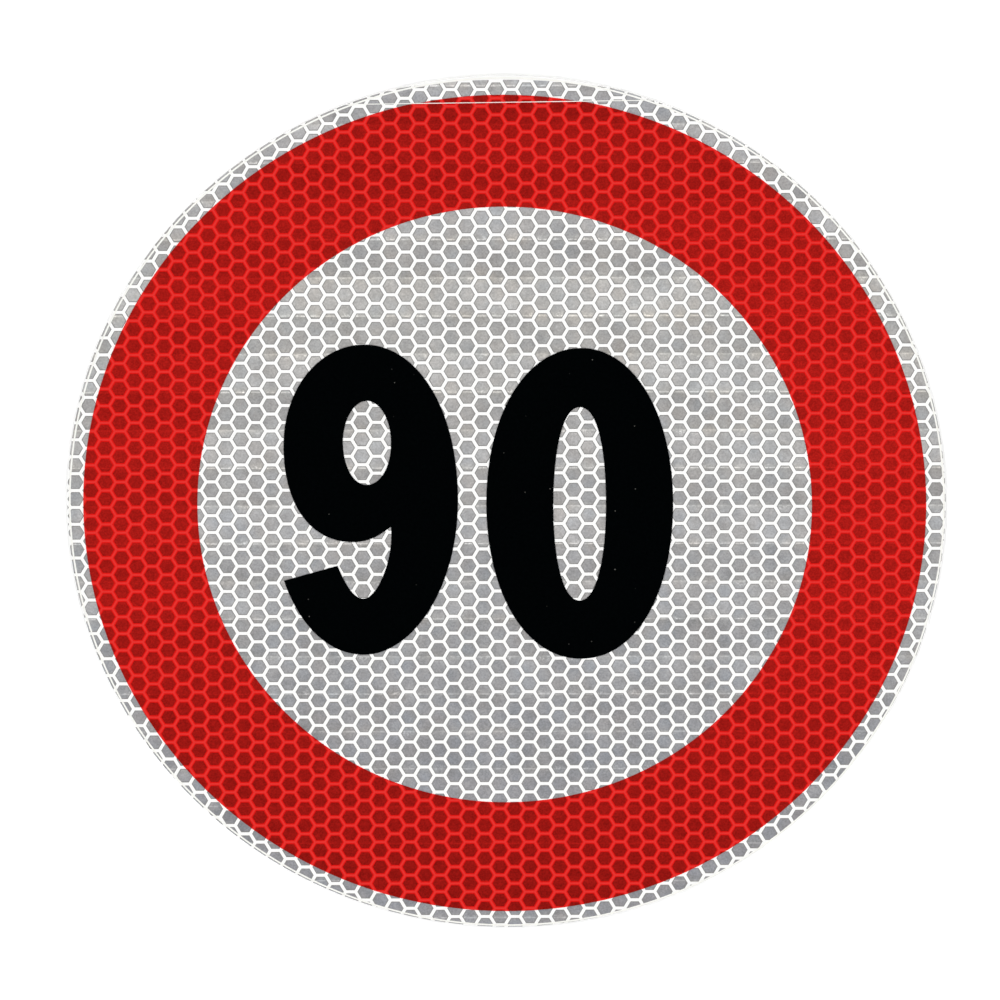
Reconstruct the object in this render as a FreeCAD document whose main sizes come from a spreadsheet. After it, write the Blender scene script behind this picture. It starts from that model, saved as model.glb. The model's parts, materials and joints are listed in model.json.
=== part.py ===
import FreeCAD, Part
import math
import os
import Sketcher

# A self-adhesive speed limit disc, lying face up. The origin is the centre of its back,
# +Z points out of the face and +Y to the top of the sign. Millimetres and degrees.

SIZES = [
    ("sign_diameter", 200.0, "outer diameter of the disc"),
    ("liner_thickness", 0.15, "backing paper"),
    ("film_thickness", 0.5, "reflective film with its adhesive"),
    ("print_thickness", 0.08, "ring and numerals"),
    ("score_inset", 0.25, "how much smaller the fine cut line is than the disc, in radius"),
    ("score_width", 0.4, "fine cut line"),
    ("score_depth", 0.1, "fine cut line"),
    ("score_right", 0.1, "middle of the cut line, right of the middle of the disc"),
    ("score_down", 0.08, "middle of the cut line, below the middle of the disc"),
    ("tab_height", 6.25, "slit in the backing paper to the top of the disc"),
    ("slit_angle", 0.69, "turn of the slit"),
    ("slit_width", 0.2, "gap between the two parts of the backing paper"),
    ("crease_width", 0.3, "crease of the face over the slit"),
    ("crease_depth", 0.05, "crease of the face over the slit"),
    ("print_left", 0.4, "middle of the print, left of the middle of the disc"),
    ("print_down", 0.25, "middle of the print, below the middle of the disc"),
    ("margin_width", 4.0, "white margin outside the red ring"),
    ("ring_width", 26.0, "red ring"),
    ("numeral_height", 73.0, "both numerals"),
    ("numeral_gap", 6.9, "right edge of the nine to the left edge of the zero"),
    ("pair_left", 6.0, "middle of the pair, left of the middle of the print"),
    ("nine_up", 1.5, "middle of the nine, above the middle of the print"),
    ("zero_up", 0.5, "middle of the zero, above the middle of the print"),
    ("zero_width", 42.1, "zero"),
    ("zero_flank", 5.4, "straight side of the zero"),
    ("zero_side_stroke", 15.1, "stroke of the zero at its sides"),
    ("zero_end_stroke", 13.5, "stroke of the zero at top and bottom"),
    ("zero_eye_flank", 8.0, "straight side of the eye of the zero"),
    ("nine_width", 39.5, "nine"),
    ("nine_axis_left", 1.6, "crown and foot of the nine, left of its middle"),
    ("bowl_flank", 3.4, "straight side of the bowl of the nine"),
    ("bowl_flank_up", 12.1, "middle of that side, above the middle of the nine"),
    ("bowl_side_stroke", 13.3, "stroke of the bowl at the left"),
    ("bowl_stroke", 13.3, "stroke of the bowl under its eye"),
    ("bowl_foot_left", 4.8, "lowest point of the bowl, left of the middle"),
    ("crown_stroke", 12.9, "stroke of the nine at the top"),
    ("stem_stroke", 15.1, "stroke of the nine at the right"),
    ("eye_height", 20.0, "eye of the nine"),
    ("chin_radius", 14.2, "underside of the bowl where it meets the stem"),
    ("hook_stroke", 13.2, "stroke of the nine at the foot"),
    ("hook_radius", 3.5, "inner curve of the hook on the side of the tail"),
    ("tail_left", 7.8, "inner corner of the tail, left of the middle"),
    ("tail_down", 15.4, "inner corner of the tail, below the middle"),
    ("tail_end_down", 18.9, "outer corner of the tail, below the middle"),
]

# The ends of an oval's quarters, as turns from its top towards its left
TOP, LEFT, BOTTOM, RIGHT = 0.0, math.pi / 2, math.pi, 3 * math.pi / 2
# How constraints name an edge's points and the sketch's own axes
START, END, MIDDLE = range(1, 4)
X_AXIS, Y_AXIS = range(-1, -3, -1)
ORIGIN = (X_AXIS, START)

SLIT_UP = "(Sizes.sign_diameter / 2 - Sizes.tab_height)"
PRINT_HEIGHT = "Sizes.liner_thickness + Sizes.film_thickness"


def fill_sheet(doc):
    sheet = doc.addObject("Spreadsheet::Sheet", "Sizes")
    for row, (alias, value, note) in enumerate(SIZES, start=1):
        sheet.set(f"A{row}", alias)
        sheet.set(f"B{row}", str(value))
        sheet.set(f"C{row}", note)
        sheet.setAlias(f"B{row}", alias)
    doc.recompute()
    return sheet


def place(thing, **expressions):
    for axis, expression in expressions.items():
        thing.setExpression(f"Placement.Base.{axis}", expression)


def new_body(doc, label):
    body = doc.addObject("PartDesign::Body", label)
    body.Label = label
    return body


def new_sketch(body, name, height="0", turn=None):
    """A sketch on the body's own XY plane, raised to a height and turned about +Z."""
    sketch = body.newObject("Sketcher::SketchObject", name)
    plane = [feature for feature in body.Origin.OriginFeatures if feature.Role == "XY_Plane"][0]
    sketch.AttachmentSupport = [(plane, "")]
    sketch.MapMode = "FlatFace"
    if turn:
        about_z = FreeCAD.Rotation(FreeCAD.Vector(0, 0, 1), float(sketch.evalExpression(turn)))
        sketch.AttachmentOffset = FreeCAD.Placement(FreeCAD.Vector(), about_z)
        sketch.setExpression("AttachmentOffset.Rotation.Angle", turn)
    sketch.setExpression("AttachmentOffset.Base.z", height)
    return sketch


def pad(body, sketch, length):
    feature = body.newObject("PartDesign::Pad", sketch.Name + "_pad")
    feature.Profile = sketch
    feature.setExpression("Length", length)
    sketch.Document.recompute()


def pocket(body, sketch, depth):
    feature = body.newObject("PartDesign::Pocket", sketch.Name + "_cut")
    before = body.Shape.Volume
    feature.Profile = sketch
    feature.setExpression("Length", depth)
    sketch.Document.recompute()
    if body.Shape.Volume >= before:
        raise RuntimeError(f"{feature.Name} cuts nothing")


def bind(sketch, kind, *where, to):
    """A constraint of the given kind whose value is an expression on the sheet."""
    number = sketch.addConstraint(Sketcher.Constraint(kind, *where, measure(sketch, to)))
    sketch.setExpression(f"Constraints[{number}]", to)


def tie(sketch, kind, *where):
    sketch.addConstraint(Sketcher.Constraint(kind, *where))


def measure(thing, expression):
    return float(thing.evalExpression(expression))


def add_circle(sketch, diameter, left=None, down=None):
    """A circle about the origin, or about a point left of it and below it."""
    middle = FreeCAD.Vector(-measure(sketch, left or "0"), -measure(sketch, down or "0"), 0)
    normal = FreeCAD.Vector(0, 0, 1)
    circle = sketch.addGeometry(Part.Circle(middle, normal, measure(sketch, diameter) / 2))
    bind(sketch, "Diameter", circle, to=diameter)
    if left:
        bind(sketch, "DistanceX", circle, MIDDLE, *ORIGIN, to=left)
        bind(sketch, "DistanceY", circle, MIDDLE, *ORIGIN, to=down)
    else:
        tie(sketch, "Coincident", circle, MIDDLE, *ORIGIN)


def upright_ellipse(centre, across, up):
    centre = FreeCAD.Vector(*centre, 0)
    return Part.Ellipse(centre + FreeCAD.Vector(0, up, 0), centre - FreeCAD.Vector(across, 0, 0), centre)


def add_oval_arc(sketch, centre, across, up, first, last):
    """An arc of an upright oval. Its upright and level axes are the two lines after it."""
    arc = sketch.addGeometry(Part.ArcOfEllipse(upright_ellipse(centre, across, up), first, last))
    sketch.exposeInternalGeometry(arc)
    tie(sketch, "Vertical", arc + 1)
    return arc


def upright_axis(arc):
    return arc + 1


def level_axis(arc):
    return arc + 2


def add_line(sketch, start, end):
    return sketch.addGeometry(Part.LineSegment(FreeCAD.Vector(*start, 0), FreeCAD.Vector(*end, 0)))


def add_round(sketch, centre, radius, first, last):
    """An arc of a circle, its ends as turns from +X."""
    circle = Part.Circle(FreeCAD.Vector(*centre, 0), FreeCAD.Vector(0, 0, 1), radius)
    return sketch.addGeometry(Part.ArcOfCircle(circle, first, last))


def add_flanked_oval(sketch, width, height, flank):
    """Two half ovals joined by straight sides, about the sketch's origin."""
    half_width = measure(sketch, width) / 2
    half_flank = measure(sketch, flank) / 2
    rise = measure(sketch, height) / 2 - half_flank
    top = add_oval_arc(sketch, (0, half_flank), half_width, rise, RIGHT, LEFT + 2 * math.pi)
    bottom = add_oval_arc(sketch, (0, -half_flank), half_width, rise, LEFT, RIGHT)
    left = add_line(sketch, (-half_width, half_flank), (-half_width, -half_flank))
    right = add_line(sketch, (half_width, -half_flank), (half_width, half_flank))
    outline = [top, left, bottom, right]
    for piece, following in zip(outline, outline[1:] + outline[:1]):
        tie(sketch, "Coincident", piece, END, following, START)
    for arc in (top, bottom):
        tie(sketch, "PointOnObject", arc, START, level_axis(arc))
        tie(sketch, "PointOnObject", arc, END, level_axis(arc))
        bind(sketch, "Distance", upright_axis(arc), to=f"{height} - {flank}")
    for side in (left, right):
        tie(sketch, "Vertical", side)
    tie(sketch, "PointOnObject", top, MIDDLE, Y_AXIS)
    bind(sketch, "Distance", level_axis(top), to=width)
    bind(sketch, "DistanceY", *ORIGIN, top, MIDDLE, to=f"{flank} / 2")
    bind(sketch, "DistanceY", bottom, MIDDLE, *ORIGIN, to=f"{flank} / 2")


def add_bar(sketch, length, width, up):
    """A level bar, centred on the Y axis, whose middle lies above the origin."""
    half_length, half_width = measure(sketch, length) / 2, measure(sketch, width) / 2
    low, high = measure(sketch, up) - half_width, measure(sketch, up) + half_width
    corners = [(-half_length, low), (half_length, low), (half_length, high), (-half_length, high)]
    sides = [add_line(sketch, *ends) for ends in zip(corners, corners[1:] + corners[:1])]
    for side, following in zip(sides, sides[1:] + sides[:1]):
        tie(sketch, "Coincident", side, END, following, START)
    bottom, right, top, left = sides
    tie(sketch, "Vertical", right)
    tie(sketch, "Horizontal", top)
    tie(sketch, "Vertical", left)
    tie(sketch, "Symmetric", bottom, START, bottom, END, Y_AXIS)
    bind(sketch, "Distance", bottom, to=length)
    bind(sketch, "Distance", right, to=width)
    bind(sketch, "DistanceY", *ORIGIN, bottom, START, to=f"{up} - {width} / 2")


def crease(body, top):
    """The face's shallow straight crease over the slit, from edge to edge."""
    sketch = new_sketch(body, body.Name + "_crease", height=top, turn="Sizes.slit_angle")
    add_bar(sketch, "Sizes.sign_diameter", "Sizes.crease_width", SLIT_UP)
    pocket(body, sketch, "Sizes.crease_depth")


def make_sheet(doc):
    """The reflective film: a disc with a fine cut line inside its edge."""
    body = new_body(doc, "reflective_sheet")
    disc = new_sketch(body, "disc")
    add_circle(disc, "Sizes.sign_diameter")
    pad(body, disc, "Sizes.film_thickness")
    score = new_sketch(body, "score", height="Sizes.film_thickness")
    outside = "Sizes.sign_diameter - 2 * Sizes.score_inset"
    for diameter in (outside, f"{outside} - 2 * Sizes.score_width"):
        add_circle(score, diameter, left="-Sizes.score_right", down="Sizes.score_down")
    pocket(body, score, "Sizes.score_depth")
    crease(body, "Sizes.film_thickness")
    place(body, z="Sizes.liner_thickness")
    return body


def make_ring(doc):
    body = new_body(doc, "red_border")
    ring = new_sketch(body, "ring")
    outer = "Sizes.sign_diameter - 2 * Sizes.margin_width"
    for diameter in (outer, f"{outer} - 2 * Sizes.ring_width"):
        add_circle(ring, diameter, left="Sizes.print_left", down="Sizes.print_down")
    pad(body, ring, "Sizes.print_thickness")
    crease(body, "Sizes.print_thickness")
    place(body, z=PRINT_HEIGHT)
    return body


def place_numeral(body, from_pair, up):
    place(
        body,
        x=f"{from_pair} - Sizes.pair_left - Sizes.print_left",
        y=f"{up} - Sizes.print_down",
        z=PRINT_HEIGHT,
    )


def make_zero(doc):
    body = new_body(doc, "numeral_zero")
    outline = new_sketch(body, "zero")
    add_flanked_oval(outline, "Sizes.zero_width", "Sizes.numeral_height", "Sizes.zero_flank")
    eye_width = "(Sizes.zero_width - 2 * Sizes.zero_side_stroke)"
    eye_height = "(Sizes.numeral_height - 2 * Sizes.zero_end_stroke)"
    add_flanked_oval(outline, eye_width, eye_height, "Sizes.zero_eye_flank")
    pad(body, outline, "Sizes.print_thickness")
    place_numeral(body, "(Sizes.nine_width + Sizes.numeral_gap) / 2", "Sizes.zero_up")
    return body


def tangent_turn(point, centre, radius):
    """Where a line from the point touches the circle, on the circle's lower left."""
    reach = math.hypot(point[0] - centre[0], point[1] - centre[1])
    towards = math.atan2(point[1] - centre[1], point[0] - centre[0])
    return towards + math.acos(radius / reach)


def add_nine_outline(sketch, size):
    """The nine's outer edge, from the tail round the stem, crown, bowl and hook."""
    half, right, axis = size("numeral_height") / 2, size("nine_width") / 2, -size("nine_axis_left")
    flank_top = size("bowl_flank_up") + size("bowl_flank") / 2
    flank_bottom = flank_top - size("bowl_flank")
    foot_x = -size("bowl_foot_left")
    foot_y = half - size("crown_stroke") - size("eye_height") - size("bowl_stroke")
    stem_x = right - size("stem_stroke")
    hook_y = size("hook_stroke") - half
    tail = (-size("tail_left"), -size("tail_down"))

    tail_turn = math.acos(-size("tail_end_down") / half)
    tail_end_x = axis - (right - axis) * math.sin(tail_turn)
    chin_turn = math.asin((stem_x - foot_x) / size("chin_radius"))
    corner_y = foot_y + size("chin_radius") * (1 - math.cos(chin_turn))
    hook_middle = (axis, hook_y + size("hook_radius"))
    slope_turn = tangent_turn(tail, hook_middle, size("hook_radius"))
    slope_end = (
        hook_middle[0] + size("hook_radius") * math.cos(slope_turn),
        hook_middle[1] + size("hook_radius") * math.sin(slope_turn),
    )

    outer = add_oval_arc(sketch, (axis, 0), right - axis, half, tail_turn, TOP + 2 * math.pi)
    crown = add_oval_arc(sketch, (axis, flank_top), right + axis, half - flank_top, TOP, LEFT)
    flank = add_line(sketch, (-right, flank_top), (-right, flank_bottom))
    bowl = add_oval_arc(sketch, (foot_x, flank_bottom), foot_x + right, flank_bottom - foot_y, LEFT, BOTTOM)
    chin = add_round(
        sketch, (foot_x, foot_y + size("chin_radius")), size("chin_radius"), -math.pi / 2, chin_turn - math.pi / 2
    )
    hook = add_oval_arc(sketch, (axis, corner_y), stem_x - axis, corner_y - hook_y, BOTTOM, RIGHT)
    turn_in = add_round(sketch, hook_middle, size("hook_radius"), slope_turn, 3 * math.pi / 2)
    slope = add_line(sketch, tail, slope_end)
    tail_end = add_line(sketch, tail, (tail_end_x, -size("tail_end_down")))
    return outer, crown, flank, bowl, chin, hook, turn_in, slope, tail_end


def constrain_nine(sketch, outer, crown, flank, bowl, chin, hook, turn_in, slope, tail_end):
    for joined in [
        (outer, END, crown, START),
        (crown, END, flank, START),
        (flank, END, bowl, START),
        (chin, END, hook, END),
        (slope, START, tail_end, START),
        (tail_end, END, outer, START),
    ]:
        tie(sketch, "Coincident", *joined)
    for smooth in [(bowl, END, chin, START), (turn_in, END, hook, START), (slope, END, turn_in, START)]:
        tie(sketch, "Tangent", *smooth)
    for point, axis in [
        ((outer, MIDDLE), X_AXIS),
        ((outer, END), upright_axis(outer)),
        ((crown, START), upright_axis(crown)),
        ((crown, END), level_axis(crown)),
        ((bowl, START), level_axis(bowl)),
        ((bowl, END), upright_axis(bowl)),
        ((hook, END), level_axis(hook)),
        ((hook, START), upright_axis(hook)),
        ((hook, START), upright_axis(outer)),
    ]:
        tie(sketch, "PointOnObject", *point, axis)
    tie(sketch, "Vertical", flank)

    half = "Sizes.numeral_height / 2"
    bind(sketch, "Distance", upright_axis(outer), to="Sizes.numeral_height")
    bind(sketch, "Distance", level_axis(outer), to="Sizes.nine_width + 2 * Sizes.nine_axis_left")
    bind(sketch, "DistanceX", outer, MIDDLE, *ORIGIN, to="Sizes.nine_axis_left")
    bind(sketch, "DistanceY", outer, START, *ORIGIN, to="Sizes.tail_end_down")
    bind(sketch, "DistanceX", flank, START, *ORIGIN, to="Sizes.nine_width / 2")
    bind(sketch, "DistanceY", *ORIGIN, flank, START, to="Sizes.bowl_flank_up + Sizes.bowl_flank / 2")
    bind(sketch, "DistanceY", flank, END, flank, START, to="Sizes.bowl_flank")
    bind(sketch, "DistanceX", bowl, END, *ORIGIN, to="Sizes.bowl_foot_left")
    bowl_drop = "Sizes.crown_stroke + Sizes.eye_height + Sizes.bowl_stroke"
    bind(sketch, "DistanceY", bowl, END, outer, END, to=bowl_drop)
    bind(sketch, "Radius", chin, to="Sizes.chin_radius")
    bind(sketch, "DistanceX", *ORIGIN, chin, END, to="Sizes.nine_width / 2 - Sizes.stem_stroke")
    bind(sketch, "DistanceY", hook, START, *ORIGIN, to=f"{half} - Sizes.hook_stroke")
    bind(sketch, "Radius", turn_in, to="Sizes.hook_radius")
    bind(sketch, "DistanceX", slope, START, *ORIGIN, to="Sizes.tail_left")
    bind(sketch, "DistanceY", slope, START, *ORIGIN, to="Sizes.tail_down")


def add_nine_eye(sketch):
    width = "Sizes.nine_width - Sizes.bowl_side_stroke - Sizes.stem_stroke"
    left = "(Sizes.stem_stroke - Sizes.bowl_side_stroke) / 2"
    up = "Sizes.numeral_height / 2 - Sizes.crown_stroke - Sizes.eye_height / 2"
    middle = (-measure(sketch, left), measure(sketch, up))
    half_width, half_height = measure(sketch, width) / 2, measure(sketch, "Sizes.eye_height") / 2
    eye = sketch.addGeometry(upright_ellipse(middle, half_width, half_height))
    sketch.exposeInternalGeometry(eye)
    tie(sketch, "Vertical", upright_axis(eye))
    bind(sketch, "Distance", upright_axis(eye), to="Sizes.eye_height")
    bind(sketch, "Distance", level_axis(eye), to=width)
    bind(sketch, "DistanceX", eye, MIDDLE, *ORIGIN, to=left)
    bind(sketch, "DistanceY", *ORIGIN, eye, MIDDLE, to=up)


def make_nine(doc):
    body = new_body(doc, "numeral_nine")
    outline = new_sketch(body, "nine")
    pieces = add_nine_outline(outline, lambda alias: measure(outline, "Sizes." + alias))
    constrain_nine(outline, *pieces)
    add_nine_eye(outline)
    pad(body, outline, "Sizes.print_thickness")
    place_numeral(body, "-(Sizes.zero_width + Sizes.numeral_gap) / 2", "Sizes.nine_up")
    return body


def make_backing(doc, label, chord_up, above):
    """One part of the backing paper: the disc above or below the slit."""
    body = new_body(doc, label)
    sketch = new_sketch(body, label + "_outline", turn="Sizes.slit_angle")
    radius = measure(sketch, "Sizes.sign_diameter") / 2
    rise = math.asin(measure(sketch, chord_up) / radius)
    ends = (rise, math.pi - rise) if above else (math.pi - rise, rise + 2 * math.pi)
    rim = add_round(sketch, (0, 0), radius, *ends)
    points = [(radius * math.cos(turn), radius * math.sin(turn)) for turn in ends]
    chord = add_line(sketch, points[1], points[0])
    tie(sketch, "Coincident", rim, MIDDLE, *ORIGIN)
    tie(sketch, "Coincident", rim, END, chord, START)
    tie(sketch, "Coincident", chord, END, rim, START)
    tie(sketch, "Horizontal", chord)
    bind(sketch, "Radius", rim, to="Sizes.sign_diameter / 2")
    bind(sketch, "DistanceY", *ORIGIN, chord, START, to=chord_up)
    pad(body, sketch, "Sizes.liner_thickness")
    return body


def check(doc, parts):
    doc.recompute()
    for thing in doc.Objects:
        if "Invalid" in thing.State or "Error" in thing.State:
            raise RuntimeError(f"{thing.Name} failed: {thing.State}")
    for part in parts:
        if part.Shape.isNull() or not part.Shape.isValid():
            raise RuntimeError(f"{part.Label} has no valid shape")


def build():
    doc = FreeCAD.newDocument("speed_limit_sign")
    fill_sheet(doc)
    parts = [
        make_sheet(doc),
        make_ring(doc),
        make_nine(doc),
        make_zero(doc),
        make_backing(doc, "release_liner", f"{SLIT_UP} - Sizes.slit_width / 2", above=False),
        make_backing(doc, "release_tab", f"{SLIT_UP} + Sizes.slit_width / 2", above=True),
    ]
    check(doc, parts)
    os.makedirs("parts", exist_ok=True)
    for part in parts:
        part.Shape.exportStep(f"parts/{part.Label}.step")


build()
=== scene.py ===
import bmesh
import bpy
import json
import math
from mathutils import Euler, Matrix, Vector

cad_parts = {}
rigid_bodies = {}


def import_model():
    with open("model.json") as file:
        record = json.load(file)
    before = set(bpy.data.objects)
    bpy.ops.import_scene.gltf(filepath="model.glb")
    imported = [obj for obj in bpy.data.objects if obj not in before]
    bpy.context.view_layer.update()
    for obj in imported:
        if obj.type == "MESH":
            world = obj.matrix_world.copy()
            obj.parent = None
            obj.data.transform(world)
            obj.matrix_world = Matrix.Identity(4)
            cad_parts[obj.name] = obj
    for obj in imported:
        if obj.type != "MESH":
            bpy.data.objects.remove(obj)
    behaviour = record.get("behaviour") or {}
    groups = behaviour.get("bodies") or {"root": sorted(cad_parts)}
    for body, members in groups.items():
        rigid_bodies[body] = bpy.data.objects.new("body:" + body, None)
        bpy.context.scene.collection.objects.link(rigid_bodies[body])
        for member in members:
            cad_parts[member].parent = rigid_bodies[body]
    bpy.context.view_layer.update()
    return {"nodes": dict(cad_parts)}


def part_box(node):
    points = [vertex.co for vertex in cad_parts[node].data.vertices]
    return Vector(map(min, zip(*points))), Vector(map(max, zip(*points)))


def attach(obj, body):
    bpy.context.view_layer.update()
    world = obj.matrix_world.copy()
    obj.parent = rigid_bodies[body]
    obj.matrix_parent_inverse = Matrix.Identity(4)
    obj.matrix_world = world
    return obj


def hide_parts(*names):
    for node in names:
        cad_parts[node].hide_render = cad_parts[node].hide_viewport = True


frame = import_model()


# The reflective sheet: a white film whose clear face is sealed to its reflective layer along a
# honeycomb of white lines, die cut to a disc. A fine cut line runs round it just inside the edge,
# and a crease crosses it over the slit in the backing paper.
sheet_low, sheet_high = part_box("reflective_sheet")
sheet_radius = sheet_high.x
sheet_top = sheet_high.z
circle_steps = 480
cut_line_inset = 0.00025
cut_line_width = 0.0004
cut_line_depth = 0.0001
cut_line_centre = Vector((0.00010, -0.00008, 0))
crease_up = 0.09385
crease_turn = math.radians(0.69)
crease_width = 0.00020
crease_depth = 0.00005
slipped = 0.00015
cell_pitch = 0.0039695
cell_column = cell_pitch * math.sqrt(3) / 2
cell_start = Vector((0.001578, -0.000294, 0))
white_cell_across = 0.00323
white_wall = 0.00018
white_cell_depth = 0.00005
pressed_flat_beyond = (
    ((-0.00075, 0.00106, 0), 0.10108),
    ((0, -0.05, 0), 0.14905),
)


def new_finish(name, colour, roughness, shine=0.5):
    """A material with its main shader, its node tree and the coordinates of the piece."""
    finish = bpy.data.materials.new(name)
    finish.use_nodes = True
    tree = finish.node_tree
    shader = tree.nodes["Principled BSDF"]
    shader.inputs["Base Color"].default_value = (*colour, 1)
    shader.inputs["Roughness"].default_value = roughness
    shader.inputs["Specular IOR Level"].default_value = shine
    place = tree.nodes.new("ShaderNodeTexCoord").outputs["Object"]
    return finish, tree, shader, place


def wire(tree, kind, inputs, output=0, **settings):
    """A node with its settings, its inputs fed by values or by other nodes' outputs."""
    made = tree.nodes.new(kind)
    for name, value in settings.items():
        setattr(made, name, value)
    for name, value in inputs.items():
        if isinstance(value, bpy.types.NodeSocket):
            tree.links.new(value, made.inputs[name])
        else:
            made.inputs[name].default_value = value
    return made.outputs[output]


def sums(tree, operation, first, second=0.0, third=0.0):
    return wire(tree, "ShaderNodeMath", {0: first, 1: second, 2: third}, operation=operation)


def spread(tree, value, from_low, from_high, to_low, to_high):
    """A value carried from one range over to another, and held at its ends."""
    return wire(
        tree,
        "ShaderNodeMapRange",
        {"Value": value, "From Min": from_low, "From Max": from_high, "To Min": to_low, "To Max": to_high},
    )


def speckle(tree, place, size, detail=3.0):
    """Noise in patches of about a size. Nearly all of it lies between noise_low and noise_high."""
    return wire(
        tree, "ShaderNodeTexNoise", {"Vector": place, "Scale": 1 / size, "Detail": detail, "Roughness": 0.6}
    )


noise_low = 0.3
noise_high = 0.7


def mottle(tree, place, size, low, high, detail=3.0):
    """A value that wanders between two limits in patches of about a size."""
    return spread(tree, speckle(tree, place, size, detail), noise_low, noise_high, low, high)


def tones(tree, value, stops):
    """Colours that run into each other as a value rises from the first stop to the last."""
    low = stops[0][0]
    high = stops[-1][0]
    ramp = wire(tree, "ShaderNodeValToRGB", {0: spread(tree, value, low, high, 0, 1)})
    elements = ramp.node.color_ramp.elements
    elements.remove(elements[1])
    elements[0].position = 0.0
    elements[0].color = (*stops[0][1], 1)
    for at, colour in stops[1:]:
        elements.new((at - low) / (high - low)).color = (*colour, 1)
    return ramp


def paint(tree, shader, colour, factor):
    """Gives the shader a colour times a number that varies over the surface."""
    brightened = wire(tree, "ShaderNodeVectorMath", {0: colour, "Scale": factor}, operation="SCALE")
    tree.links.new(brightened, shader.inputs["Base Color"])


def roughen(tree, shader, place, size, low, high):
    tree.links.new(mottle(tree, place, size, low, high), shader.inputs["Roughness"])


def relief(tree, shader, height, distance):
    bump = wire(tree, "ShaderNodeBump", {"Height": height, "Distance": distance, "Strength": 1.0})
    tree.links.new(bump, shader.inputs["Normal"])


# The tool that sealed the cells was made of strips, which left level seams and bands between them; the
# bands' light and shade are painted, in turn lighter and darker.
# The even number of bands that is added keeps the count of those below the first seam above zero.
seam_spacing = 0.008885
seam_start = -0.0002
bands_added = 100.0
seam_line_up = 0.00012
seam_line_core = 0.00005
seam_line_edge = 0.00024
seam_glow_reach = 0.0012
seam_warmth_reach = 0.0016
low_bands = -0.060
high_bands = -0.025


def height_up(tree, place):
    return wire(tree, "ShaderNodeSeparateXYZ", {"Vector": place}, output=1)


def bands_up(tree, place):
    """How far up the sheet a point lies, counted in bands."""
    from_start = sums(tree, "SUBTRACT", height_up(tree, place), seam_start)
    return sums(tree, "DIVIDE", from_start, seam_spacing)


def painted_band_shade(tree, place, low_change, high_change):
    """Painted light and shade: bands that are in turn lighter and darker, by one change up to low_bands and
    by another from high_bands on."""
    band = sums(tree, "FLOOR", sums(tree, "ADD", bands_up(tree, place), bands_added))
    side = spread(tree, sums(tree, "MODULO", band, 2.0), 0, 1, -1, 1)
    amount = spread(tree, height_up(tree, place), low_bands, high_bands, low_change, high_change)
    return sums(tree, "MULTIPLY_ADD", side, amount, 1.0)


def nearest_seam(tree, place):
    """The number of the nearest seam, and how far a point lies above it."""
    bands = bands_up(tree, place)
    seam = sums(tree, "ROUND", bands)
    return seam, sums(tree, "MULTIPLY", sums(tree, "SUBTRACT", bands, seam), seam_spacing)


def from_seam_line(tree, place):
    above = nearest_seam(tree, place)[1]
    return sums(tree, "ABSOLUTE", sums(tree, "SUBTRACT", above, seam_line_up))


def seam_lines(tree, place):
    """A thin bright line along each seam, stronger in some places than in others."""
    line = spread(tree, from_seam_line(tree, place), seam_line_core, seam_line_edge, 1, 0)
    stretched = wire(tree, "ShaderNodeMapping", {"Vector": place, "Scale": (1, 0.15, 1)})
    patches = spread(tree, speckle(tree, stretched, size=0.0018, detail=2.0), 0.38, 0.60, 0.3, 1)
    return sums(tree, "MULTIPLY", line, patches)


def seam_glow(tree, place):
    """A glow that fades away from each seam, above one seam and below the next."""
    seam, above = nearest_seam(tree, place)
    odd = sums(tree, "MODULO", sums(tree, "ADD", seam, bands_added), 2.0)
    beyond = sums(tree, "MULTIPLY", above, spread(tree, odd, 0, 1, -1, 1))
    fading = spread(tree, beyond, 0, seam_glow_reach, 1, 0)
    return sums(tree, "MULTIPLY", fading, sums(tree, "GREATER_THAN", beyond, 0.0))


def seam_warmth(tree, place):
    """A warm tint along each seam, as a factor for each part of a colour."""
    warm_to_cool = ((0, (1.008, 1.0, 0.97)), (seam_warmth_reach, (1.0, 1.0, 1.003)))
    return tones(tree, from_seam_line(tree, place), warm_to_cool)


# Painted light and shade: the cells' grey grows lighter and darker with height up the sheet.
cell_greys_with_painted_shade = (
    (-0.1, (0.322, 0.321, 0.335)),
    (-0.086, (0.278, 0.277, 0.292)),
    (-0.056, (0.309, 0.309, 0.322)),
    (-0.030, (0.349, 0.349, 0.356)),
    (-0.004, (0.392, 0.388, 0.390)),
    (0.048, (0.438, 0.429, 0.416)),
    (0.062, (0.388, 0.380, 0.376)),
    (0.1, (0.406, 0.403, 0.412)),
)
cool_to_warm = ((noise_low, (0.966, 0.999, 1.034)), (noise_high, (1.034, 0.999, 0.966)))
white_line_strength = 0.60


def sealed_line_finish():
    finish, tree, shader, place = new_finish("white_seal", (0.96, 0.96, 0.95), 0.2)
    tone = mottle(tree, place, size=0.006, low=0.985, high=1.005)
    paint(tree, shader, (0.984, 0.979, 0.970), tone)
    roughen(tree, shader, place, size=0.0012, low=0.16, high=0.26)
    relief(tree, shader, speckle(tree, place, size=0.0006), distance=0.000004)
    return finish


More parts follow.
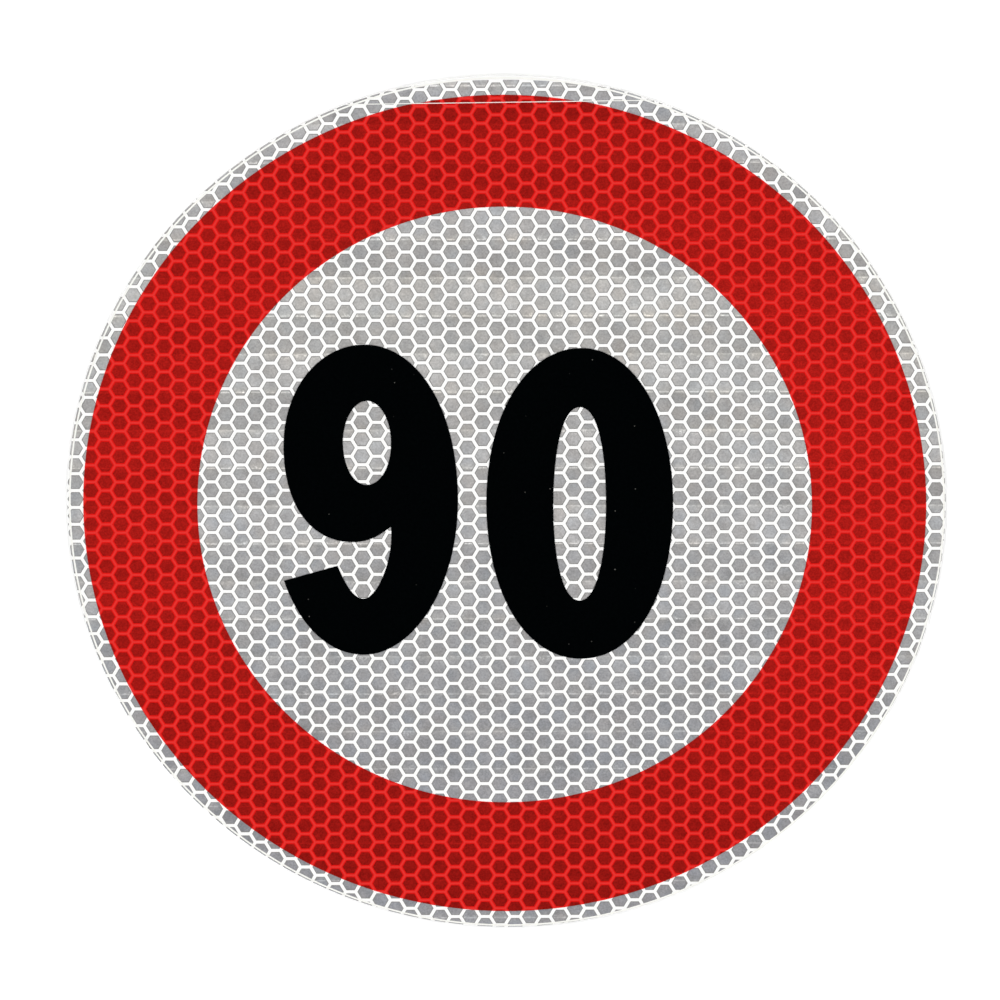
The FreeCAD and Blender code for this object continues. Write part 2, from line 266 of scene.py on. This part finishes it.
def white_cell_finish():
    finish, tree, shader, place = new_finish("reflective_cell", (0.39, 0.39, 0.39), 0.2)
    # Painted light and shade: the grey changes with height, and the bands are in turn lighter and darker.
    grey = tones(tree, height_up(tree, place), cell_greys_with_painted_shade)
    shade = painted_band_shade(tree, place, low_change=-0.03, high_change=0.075)
    crazed = spread(tree, speckle(tree, place, size=0.0034, detail=1.0), 0.56, 0.62, 0, 1)
    sparks = spread(tree, speckle(tree, place, size=0.0004, detail=1.0), 0.52, 0.62, 0, 0.5)
    broken = sums(tree, "MULTIPLY_ADD", crazed, sparks, 0.10)
    glow = sums(tree, "MULTIPLY", seam_glow(tree, place), broken)
    lined = sums(tree, "MULTIPLY_ADD", seam_lines(tree, place), white_line_strength, shade)
    lit = sums(tree, "ADD", lined, glow)
    cloudy = mottle(tree, place, size=0.0030, low=0.92, high=1.08, detail=2.0)
    patchy = mottle(tree, place, size=0.0100, low=0.89, high=1.11, detail=1.0)
    grain = mottle(tree, place, size=0.0004, low=0.79, high=1.21)
    mottled = sums(tree, "MULTIPLY", patchy, grain)
    factor = sums(tree, "MULTIPLY", sums(tree, "MULTIPLY", lit, cloudy), mottled)
    tint = tones(tree, speckle(tree, place, size=0.0080, detail=2.0), cool_to_warm)
    warmth = seam_warmth(tree, place)
    silvery = wire(tree, "ShaderNodeVectorMath", {0: grey, 1: warmth}, operation="MULTIPLY")
    silvery = wire(tree, "ShaderNodeVectorMath", {0: silvery, 1: tint}, operation="MULTIPLY")
    paint(tree, shader, silvery, factor)
    roughen(tree, shader, place, size=0.0009, low=0.16, high=0.28)
    relief(tree, shader, speckle(tree, place, size=0.0004), distance=0.000006)
    return finish


# Painted shade: the walls of the white cells are dark grey, standing for the shade in the recess round each
# cell.
def painted_shade_wall_finish():
    finish, tree, shader, place = new_finish("cell_wall", (0.24, 0.24, 0.23), 0.6, shine=0.0)
    tone = mottle(tree, place, size=0.0015, low=0.9, high=1.12)
    paint(tree, shader, (0.235, 0.232, 0.222), tone)
    return finish


def cut_line_finish():
    finish, tree, shader, place = new_finish("cut_line", (0.93, 0.92, 0.88), 0.5)
    tone = mottle(tree, place, size=0.003, low=0.97, high=1.0)
    paint(tree, shader, (0.95, 0.945, 0.905), tone)
    return finish


sheet_finishes = [sealed_line_finish(), white_cell_finish(), painted_shade_wall_finish(), cut_line_finish()]
seal, cell_floor, cell_wall, cut_line = range(len(sheet_finishes))


def start_piece(name):
    """Names the primitive just added and opens it for editing."""
    bpy.context.object.name = name
    bpy.context.object.data.name = name
    bpy.ops.object.mode_set(mode="EDIT")
    return bpy.context.object


def choose(kind, wanted):
    """Selects, in edit mode, only the vertices or faces that are wanted."""
    bpy.ops.mesh.select_mode(type=kind)
    bpy.ops.mesh.select_all(action="DESELECT")
    shape = bmesh.from_edit_mesh(bpy.context.object.data)
    for element in {"VERT": shape.verts, "FACE": shape.faces}[kind]:
        if wanted(element):
            element.select_set(True)
    shape.select_flush_mode()
    bmesh.update_edit_mesh(bpy.context.object.data)


def wear(piece, finishes):
    for finish in finishes:
        piece.data.materials.append(finish)


def only(piece):
    bpy.ops.object.select_all(action="DESELECT")
    piece.select_set(True)
    bpy.context.view_layer.objects.active = piece


def copy_of(piece, name):
    only(piece)
    bpy.ops.object.duplicate()
    bpy.context.object.name = name
    return bpy.context.object


def joined(first, *others):
    only(first)
    for other in others:
        other.select_set(True)
    bpy.ops.object.join()
    return first


across_crease = Vector((-math.sin(crease_turn), math.cos(crease_turn), 0))


def trimmed(piece, up, keep_below):
    """Cuts a piece along a line that runs with the crease, at a height from the middle of the disc."""
    only(piece)
    bpy.ops.object.mode_set(mode="EDIT")
    bpy.ops.mesh.select_all(action="SELECT")
    bpy.ops.mesh.bisect(
        plane_co=across_crease * up,
        plane_no=across_crease,
        use_fill=True,
        clear_outer=keep_below,
        clear_inner=not keep_below,
    )
    bpy.ops.object.mode_set(mode="OBJECT")
    return piece


punch_to_depth = 1.5
level_sides = math.radians(30)
facing_down = -0.999


def one_cell(name, finishes, surface, across, wall, depth):
    """A six-sided punch with sloping walls. Its floor has the second finish and its walls the third."""
    rise = depth * punch_to_depth
    widening = wall * rise / depth
    to_corner = 2 / math.sqrt(3)
    bpy.ops.object.select_all(action="DESELECT")
    bpy.ops.mesh.primitive_cone_add(
        vertices=6,
        radius1=(across / 2 - wall) * to_corner,
        radius2=(across / 2 - wall + widening) * to_corner,
        depth=rise,
        location=(0, 0, surface - depth + rise / 2),
    )
    cell = start_piece(name)
    bpy.ops.mesh.select_all(action="SELECT")
    bpy.ops.transform.rotate(value=level_sides, orient_axis="Z", center_override=(0, 0, 0))
    bpy.ops.object.mode_set(mode="OBJECT")
    bpy.ops.object.transform_apply(location=True, rotation=True, scale=True)
    wear(cell, finishes)
    for face in cell.data.polygons:
        face.material_index = cell_floor if face.normal.z < facing_down else cell_wall
    return cell


def repeat(piece, step, times):
    only(piece)
    rows = piece.modifiers.new("rows", "ARRAY")
    rows.use_relative_offset = False
    rows.use_constant_offset = True
    rows.constant_offset_displace = step
    rows.count = times
    bpy.ops.object.modifier_apply(modifier=rows.name)


def honeycomb(name, finishes, surface, across, wall, depth, wanted, from_crease):
    """The punches of all cells that reach a wanted place, up to a distance from the crease's middle.
    Those above the crease have slipped down."""
    columns = math.ceil(sheet_radius / cell_column / 2)
    rows = math.ceil(sheet_radius / cell_pitch)
    cells = one_cell(name, finishes, surface, across, wall, depth)
    cells.location = cell_start - Vector((2 * columns * cell_column, rows * cell_pitch, 0))
    repeat(cells, (2 * cell_column, 0, 0), 2 * columns + 1)
    repeat(cells, (0, cell_pitch, 0), 2 * rows + 1)
    between = copy_of(cells, name + "_between")
    between.location += Vector((cell_column, cell_pitch / 2, 0))
    cells = joined(cells, between)
    only(cells)
    bpy.ops.object.transform_apply(location=True, rotation=True, scale=True)
    bpy.ops.object.mode_set(mode="EDIT")
    choose("VERT", lambda vertex: wanted(vertex.co))
    bpy.ops.mesh.select_linked()
    bpy.ops.mesh.select_all(action="INVERT")
    bpy.ops.mesh.delete(type="VERT")
    bpy.ops.object.mode_set(mode="OBJECT")
    above = copy_of(cells, name + "_above")
    above.location.y = -slipped
    bpy.ops.object.transform_apply(location=True, rotation=True, scale=True)
    trimmed(above, crease_up + from_crease, keep_below=False)
    trimmed(cells, crease_up - from_crease, keep_below=True)
    return joined(cells, above)


def combine(piece, operation, tool):
    """Cuts a piece by another one, which is then used up."""
    only(piece)
    cut = piece.modifiers.new("cut", "BOOLEAN")
    cut.operation = operation
    cut.object = tool
    cut.solver = "MANIFOLD"
    cut.material_mode = "INDEX"
    bpy.ops.object.modifier_apply(modifier=cut.name)
    bpy.data.objects.remove(tool)


well_through = 0.002


def sealed_beyond(cells, middle, radius):
    """Ends the punches along a circle, beyond which the film is pressed flat and white."""
    bpy.ops.mesh.primitive_cylinder_add(
        vertices=circle_steps,
        radius=radius,
        depth=well_through,
        location=middle,
    )
    combine(cells, "INTERSECT", bpy.context.object)


shortest_edge = 0.0000005
most_corners = 12


def punch(piece, cells):
    """Punches the cells into a piece, clears slivers and stray corners, and splits many-sided faces."""
    combine(piece, "DIFFERENCE", cells)
    bpy.ops.object.mode_set(mode="EDIT")
    bpy.ops.mesh.select_all(action="SELECT")
    bpy.ops.mesh.dissolve_degenerate(threshold=shortest_edge)
    choose("VERT", lambda vertex: len(vertex.link_edges) == 2)
    bpy.ops.mesh.dissolve_verts()
    choose("FACE", lambda face: len(face.verts) > most_corners)
    bpy.ops.mesh.quads_convert_to_tris()
    bpy.ops.object.mode_set(mode="OBJECT")


border_low, border_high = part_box("red_border")
border_centre = (border_low + border_high) / 2
border_radius = border_high.x - border_centre.x
border_width = 0.026
facing_up = 0.9
on_a_slope = 0.5


def from_border_centre(place):
    return math.hypot(place.x - border_centre.x, place.y - border_centre.y)


def in_the_open(place):
    """Whether a place on the sheet isn't under the ring."""
    out = from_border_centre(place)
    return not border_radius - border_width < out < border_radius and place.xy.length < sheet_radius


def on_cut_line(place):
    line_middle = sheet_radius - cut_line_inset - cut_line_width / 2
    return abs((place - cut_line_centre).xy.length - line_middle) < cut_line_width / 4


def from_crease_line(place):
    return abs(place.dot(across_crease) - crease_up)


bpy.ops.object.select_all(action="DESELECT")
bpy.ops.mesh.primitive_cylinder_add(
    vertices=circle_steps,
    radius=sheet_radius,
    depth=sheet_top - sheet_low.z,
    location=(0, 0, (sheet_top + sheet_low.z) / 2),
)
sheet = start_piece("honeycomb_sheet")
choose("FACE", lambda face: face.normal.z > facing_up)
bpy.ops.mesh.inset(thickness=cut_line_inset)
bpy.ops.transform.translate(value=cut_line_centre)
bpy.ops.mesh.inset(thickness=cut_line_width)
choose("FACE", lambda face: face.normal.z > facing_up and on_cut_line(face.calc_center_median()))
bpy.ops.mesh.extrude_region_move(TRANSFORM_OT_translate={"value": (0, 0, -cut_line_depth)})
bpy.ops.object.mode_set(mode="OBJECT")
bpy.ops.object.transform_apply(location=True, rotation=True, scale=True)
wear(sheet, sheet_finishes)
for face in sheet.data.polygons:
    face.material_index = cut_line if face.normal.z > facing_up and on_cut_line(face.center) else seal
for side in (-0.5, 0, 0.5):
    only(sheet)
    bpy.ops.object.mode_set(mode="EDIT")
    bpy.ops.mesh.select_all(action="SELECT")
    bpy.ops.mesh.bisect(
        plane_co=across_crease * (crease_up + side * crease_width),
        plane_no=across_crease,
    )
    bpy.ops.object.mode_set(mode="OBJECT")
bpy.ops.object.mode_set(mode="EDIT")
choose(
    "VERT",
    lambda vertex: from_crease_line(vertex.co) < crease_width / 10
    and vertex.co.z > sheet_top - crease_depth / 2,
)
bpy.ops.transform.translate(value=(0, 0, -crease_depth))
bpy.ops.object.mode_set(mode="OBJECT")
for face in sheet.data.polygons:
    if from_crease_line(face.center) < crease_width / 2 and face.normal.z > on_a_slope:
        face.material_index = cut_line
sheet_cells = honeycomb(
    "sheet_cells",
    sheet_finishes,
    sheet_top,
    white_cell_across,
    white_wall,
    white_cell_depth,
    in_the_open,
    from_crease=crease_width / 2,
)
for middle, radius in pressed_flat_beyond:
    sealed_beyond(sheet_cells, middle, radius)
punch(sheet, sheet_cells)
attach(sheet, "root")
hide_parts("reflective_sheet")


# The red ring: clear red ink printed over the sheet, so the honeycomb shows through it, bright along
# the seals and dark in the cells. The crease broke it, and the part above the crease slipped down.
red_cell_across = 0.00350
red_wall = 0.00025
red_cell_depth = 0.00005
# Painted light and shade: the ink over the cells grows lighter and darker with height up the sheet.
painted_ink_shade_by_height = (
    (-0.1, 0.72),
    (-0.085, 0.83),
    (-0.05, 0.93),
    (-0.022, 1.05),
    (0.05, 1.06),
    (0.085, 0.95),
    (0.1, 0.85),
)
red_line_strength = 0.28
red_glow_strength = 0.06
ring_side = 0.1
painted_shade_left = 0.965
painted_light_right = 1.055


def ink_over_cells(tree, place):
    """How bright the ink looks over the cells: painted light and shade by height, band and side, and lines
    and a glow along the seams.
    """
    stops = [(at, (strength, strength, strength)) for at, strength in painted_ink_shade_by_height]
    shade = tones(tree, height_up(tree, place), stops)
    shade = sums(tree, "MULTIPLY", shade, painted_band_shade(tree, place, low_change=0.01, high_change=0.035))
    shade = sums(tree, "MULTIPLY_ADD", seam_lines(tree, place), red_line_strength, shade)
    glow = sums(tree, "MULTIPLY", seam_glow(tree, place), red_glow_strength)
    shade = sums(tree, "ADD", shade, glow)
    # Painted light and shade: the ink over the cells is lighter towards the right and darker towards the
    # left.
    across = wire(tree, "ShaderNodeSeparateXYZ", {"Vector": place}, output=0)
    painted_light_across = spread(tree, across, -ring_side, ring_side, painted_shade_left, painted_light_right)
    shade = sums(tree, "MULTIPLY", shade, painted_light_across)
    cloudy = mottle(tree, place, size=0.0030, low=0.92, high=1.08, detail=2.0)
    return sums(tree, "MULTIPLY", shade, cloudy)


def red_finish(name, colour, contrast, shine=0.5, over_cells=False):
    finish, tree, shader, place = new_finish(name, colour, 0.2, shine)
    factor = mottle(tree, place, size=0.0004, low=1 - contrast, high=1 + contrast)
    if over_cells:
        factor = sums(tree, "MULTIPLY", factor, ink_over_cells(tree, place))
    paint(tree, shader, colour, factor)
    roughen(tree, shader, place, size=0.0009, low=0.16, high=0.26)
    relief(tree, shader, speckle(tree, place, size=0.0004), distance=0.000005)
    return finish


ring_finishes = [
    red_finish("red_seal", (0.775, 0.0335, 0.029), 0.04),
    red_finish("red_cell", (0.345, 0.0095, 0.0071), 0.29, over_cells=True),
    red_finish("red_cell_wall", (0.69, 0.0085, 0.0070), 0.06, shine=0.0),
]


def under_the_ink(place):
    """Whether a place is under the ring or within one cell of it."""
    inner = border_radius - border_width - cell_pitch
    return inner < from_border_centre(place) < border_radius + cell_pitch


def ring_blank(name, down):
    """The ring before it is punched, moved down by a distance."""
    bpy.ops.object.select_all(action="DESELECT")
    bpy.ops.mesh.primitive_cylinder_add(
        vertices=circle_steps,
        radius=border_radius,
        depth=border_high.z - border_low.z,
        location=border_centre - Vector((0, down, 0)),
    )
    blank = start_piece(name)
    choose("FACE", lambda face: abs(face.normal.z) > facing_up)
    bpy.ops.mesh.inset(thickness=border_width)
    bpy.ops.mesh.bridge_edge_loops()
    bpy.ops.object.mode_set(mode="OBJECT")
    bpy.ops.object.transform_apply(location=True, rotation=True, scale=True)
    return blank


border = trimmed(ring_blank("red_ring", 0), crease_up - crease_width / 2, keep_below=True)
cap = trimmed(ring_blank("red_ring_above", slipped), crease_up + crease_width / 2, keep_below=False)
border = joined(border, cap)
wear(border, ring_finishes)
ring_cells = honeycomb(
    "ring_cells",
    ring_finishes,
    border_high.z,
    red_cell_across,
    red_wall,
    red_cell_depth,
    under_the_ink,
    from_crease=crease_width / 4,
)
punch(border, ring_cells)
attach(border, "root")
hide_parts("red_border")


# The numerals: matt black film, plotter cut and laid over the sheet by hand, the nine a little askew,
# with a faint grain and a few specks of dust. The plotter followed free curves, which the arcs of the
# CAD shapes come near, so films cut along the curves stand for those shapes.
film_low, film_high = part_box("numeral_zero")
curve_steps = 40
mm_per_metre = 1000
same_place = 0.000001
film_black = (0.0006, 0.0010, 0.0012)
dust_grey = (0.165, 0.155, 0.140)
dust_spacing = 0.005
speck_core = 0.012
speck_edge = 0.036
faintest_speck = 0.04
clean_share = 0.82


def dust(tree, place):
    """Specks at a few of the points strewn over the film, each with a brightness of its own. Their
    size is a share of the points' spacing."""
    near = wire(
        tree, "ShaderNodeTexVoronoi", {"Vector": place, "Scale": 1 / dust_spacing}, voronoi_dimensions="2D"
    )
    chance = wire(tree, "ShaderNodeSeparateColor", {"Color": near.node.outputs["Color"]})
    bright = spread(tree, sums(tree, "POWER", chance.node.outputs["Green"], 2.0), 0, 1, faintest_speck, 1)
    specks = sums(tree, "MULTIPLY", spread(tree, near, speck_core, speck_edge, 1, 0), bright)
    return sums(tree, "MULTIPLY", specks, sums(tree, "GREATER_THAN", chance, clean_share))


def numeral_finish():
    finish, tree, shader, place = new_finish("black_numeral", film_black, 0.2, shine=0.2)
    grain = mottle(tree, place, size=0.0006, low=0.7, high=1.3)
    black = wire(tree, "ShaderNodeVectorMath", {0: film_black, "Scale": grain}, operation="SCALE")
    specks = {0: dust_grey, "Scale": dust(tree, place)}
    dusty = wire(tree, "ShaderNodeVectorMath", specks, operation="SCALE")
    dusty = wire(tree, "ShaderNodeVectorMath", {0: black, 1: dusty}, operation="ADD")
    tree.links.new(dusty, shader.inputs["Base Color"])
    roughen(tree, shader, place, size=0.0008, low=0.17, high=0.23)
    relief(tree, shader, speckle(tree, place, size=0.0005), distance=0.000004)
    return finish


def cut_film(name, edges):
    """A numeral cut from the film. Each knot of an edge has its place, and how far the curve's two
    handles reach back and on from it, in millimetres and anticlockwise round the edge."""
    bpy.ops.object.select_all(action="DESELECT")
    bpy.ops.curve.primitive_bezier_circle_add(location=(0, 0, (film_low.z + film_high.z) / 2))
    film = bpy.context.object
    film.name = name
    film.data.dimensions = "2D"
    film.data.fill_mode = "BOTH"
    film.data.resolution_u = curve_steps
    film.data.extrude = (film_high.z - film_low.z) / 2
    film.data.splines.remove(film.data.splines[0])
    for knots in edges:
        edge = film.data.splines.new("BEZIER")
        edge.use_cyclic_u = True
        edge.bezier_points.add(len(knots) - 1)
        for knot, (place, back, on) in zip(edge.bezier_points, knots):
            knot.handle_left_type = "FREE"
            knot.handle_right_type = "FREE"
            knot.co = Vector((*place, 0)) / mm_per_metre
            knot.handle_left = knot.co + Vector((*back, 0)) / mm_per_metre
            knot.handle_right = knot.co + Vector((*on, 0)) / mm_per_metre
    bpy.ops.object.convert(target="MESH")
    film = bpy.context.object
    bpy.ops.object.transform_apply(location=True, rotation=True, scale=True)
    bpy.ops.object.mode_set(mode="EDIT")
    bpy.ops.mesh.select_all(action="SELECT")
    bpy.ops.mesh.remove_doubles(threshold=same_place)
    bpy.ops.mesh.normals_make_consistent(inside=False)
    bpy.ops.object.mode_set(mode="OBJECT")
    bpy.ops.object.shade_flat()
    return film


black_film = numeral_finish()
nine_outline = (
    ((-32.09, 37.72), (11.81, 0), (-9.65, 0)),
    ((-50.59, 13.70), (0, 14.40), (0, -13.69)),
    ((-35.06, -8.54), (-9.43, 0), (4.82, 0)),
    ((-26.28, -4.95), (-1.61, -0.99), (0.67, -7.67)),
    ((-32.71, -21.93), (3.12, 0), (-2.84, 0)),
    ((-38.54, -14.13), (0.89, -2.15), (-4.08, -1.16)),
    ((-50.77, -17.61), (4.08, 1.16), (2.03, -6.80)),
    ((-32.65, -35.11), (-10.33, 0), (10.82, 0)),
    ((-10.99, 1.74), (0, -21.45), (0, 21.56)),
)
nine_eye = (
    ((-31.43, 24.61), (2.48, 0), (-3.47, 0)),
    ((-37.10, 14.79), (0, 4.62), (0, -5.35)),
    ((-31.72, 4.88), (-3.16, 0), (2.99, 0)),
    ((-26.13, 14.76), (0, -5.79), (0, 6.13)),
)
nine = cut_film("cut_nine", (nine_outline, nine_eye))
wear(nine, [black_film])
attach(nine, "root")
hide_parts("numeral_nine")
zero_outline = (
    ((17.19, 36.84), (11.59, 0), (-12.34, 0)),
    ((-4.52, 0.20), (0, 21.54), (0, -20.82)),
    ((16.85, -36.13), (-12.62, 0), (13.02, 0)),
    ((38.00, 0.52), (0, -20.87), (0, 21.50)),
)
zero_eye = (
    ((16.79, 23.06), (3.86, 0), (-4.10, 0)),
    ((10.71, -0.48), (0, 12.44), (0, -12.60)),
    ((16.65, -22.44), (-3.71, 0), (4.30, 0)),
    ((22.73, 0.24), (0, -10.65), (0, 14.26)),
)
zero = cut_film("cut_zero", (zero_outline, zero_eye))
wear(zero, [black_film])
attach(zero, "root")
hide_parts("numeral_zero")


# The backing paper: siliconised kraft paper on the adhesive, slit near the top so that it peels off
# in two parts. It shows only as a fine edge under the film.
kraft = (0.86, 0.85, 0.80)


def paper_finish():
    finish, tree, shader, place = new_finish("kraft_paper", kraft, 0.6)
    fibres = wire(tree, "ShaderNodeMapping", {"Vector": place, "Scale": (1, 0.25, 1)})
    tone = mottle(tree, fibres, size=0.0012, low=0.95, high=1.03, detail=5.0)
    paint(tree, shader, kraft, tone)
    roughen(tree, shader, place, size=0.002, low=0.5, high=0.7)
    relief(tree, shader, speckle(tree, fibres, size=0.0006, detail=5.0), distance=0.00001)
    return finish


paper = paper_finish()
for name in ("release_liner", "release_tab"):
    for slot in frame["nodes"][name].material_slots:
        slot.material = paper


# The studio: a white table, four soft lamps round it and a dim room, with nothing bright where the
# face would mirror it to the camera.
white = (1, 1, 1, 1)
table_white = (0.93, 0.93, 0.93, 1)
table_width = 12
table_drop = 0.00005
glow_near = 0.14
glow_far = 1.0
near_reach = 0.12
far_from = 0.5
room_glow = 0.35
dark_above = 0.6
lamp_reach = 2.0
lamp_rise = math.radians(40)
lamp_width = 1.2
bearings_and_watts = ((45, 17.1), (135, 19.1), (225, 17.1), (315, 17.1))


def table_finish():
    """White paint with a glow that grows away from the sign, for the camera and reflections only."""
    finish = bpy.data.materials.new("white_table")
    finish.use_nodes = True
    tree = finish.node_tree
    tree.nodes.remove(tree.nodes["Principled BSDF"])
    diffuse = wire(tree, "ShaderNodeBsdfDiffuse", {"Color": table_white})
    place = tree.nodes.new("ShaderNodeTexCoord").outputs["Object"]
    out = wire(tree, "ShaderNodeVectorMath", {0: place}, output="Value", operation="LENGTH")
    seen = wire(tree, "ShaderNodeLightPath", {})
    seen = sums(tree, "MAXIMUM", seen, seen.node.outputs["Is Glossy Ray"])
    glow = sums(tree, "MULTIPLY", seen, spread(tree, out, near_reach, far_from, glow_near, glow_far))
    added = wire(tree, "ShaderNodeEmission", {"Color": white, "Strength": glow})
    both = wire(tree, "ShaderNodeAddShader", {0: diffuse, 1: added})
    tree.links.new(both, tree.nodes["Material Output"].inputs["Surface"])
    return finish


bpy.ops.object.select_all(action="DESELECT")
bpy.ops.mesh.primitive_plane_add(size=table_width, location=(0, 0, -table_drop))
table = bpy.context.object
table.name = "table"
table.data.materials.append(table_finish())

room = bpy.data.worlds.new("room")
room.use_nodes = True
bpy.context.scene.world = room
tree = room.node_tree
direction = wire(tree, "ShaderNodeTexCoord", {})
height = wire(tree, "ShaderNodeSeparateXYZ", {"Vector": direction}, output=2)
dim = spread(tree, height, 0.0, dark_above, room_glow, 0.0)
seen = wire(tree, "ShaderNodeLightPath", {})
strength = sums(tree, "MAXIMUM", seen, dim)
tree.links.new(strength, tree.nodes["Background"].inputs["Strength"])
tree.nodes["Background"].inputs["Color"].default_value = white

for number, (bearing, watts) in enumerate(bearings_and_watts):
    out = lamp_reach * math.cos(lamp_rise)
    around = math.radians(bearing)
    at = Vector((out * math.cos(around), out * math.sin(around), lamp_reach * math.sin(lamp_rise)))
    bpy.ops.object.light_add(type="AREA", location=at)
    lamp = bpy.context.object
    lamp.name = f"soft_lamp_{number}"
    lamp.rotation_euler = (-at).to_track_quat("-Z", "Y").to_euler()
    lamp.data.shape = "SQUARE"
    lamp.data.size = lamp_width
    lamp.data.energy = watts
    lamp.visible_camera = False
    lamp.visible_glossy = False


# The camera: it stands almost straight above the disc, a little towards its top, and looks down at
# it through a long lens, as the photograph does.
distance = 2.409
aim = Vector((-0.00142, 0.00113, 0))
turn = Euler((math.radians(-14.268), math.radians(0.761), math.radians(-0.288)))
bpy.ops.object.camera_add(location=aim + turn.to_matrix() @ Vector((0, 0, distance)), rotation=turn)
camera = bpy.context.object
camera.name = "camera"
camera.data.sensor_width = 36
camera.data.lens = 380.75
bpy.context.scene.camera = camera
bpy.context.scene.view_settings.view_transform = "Standard"
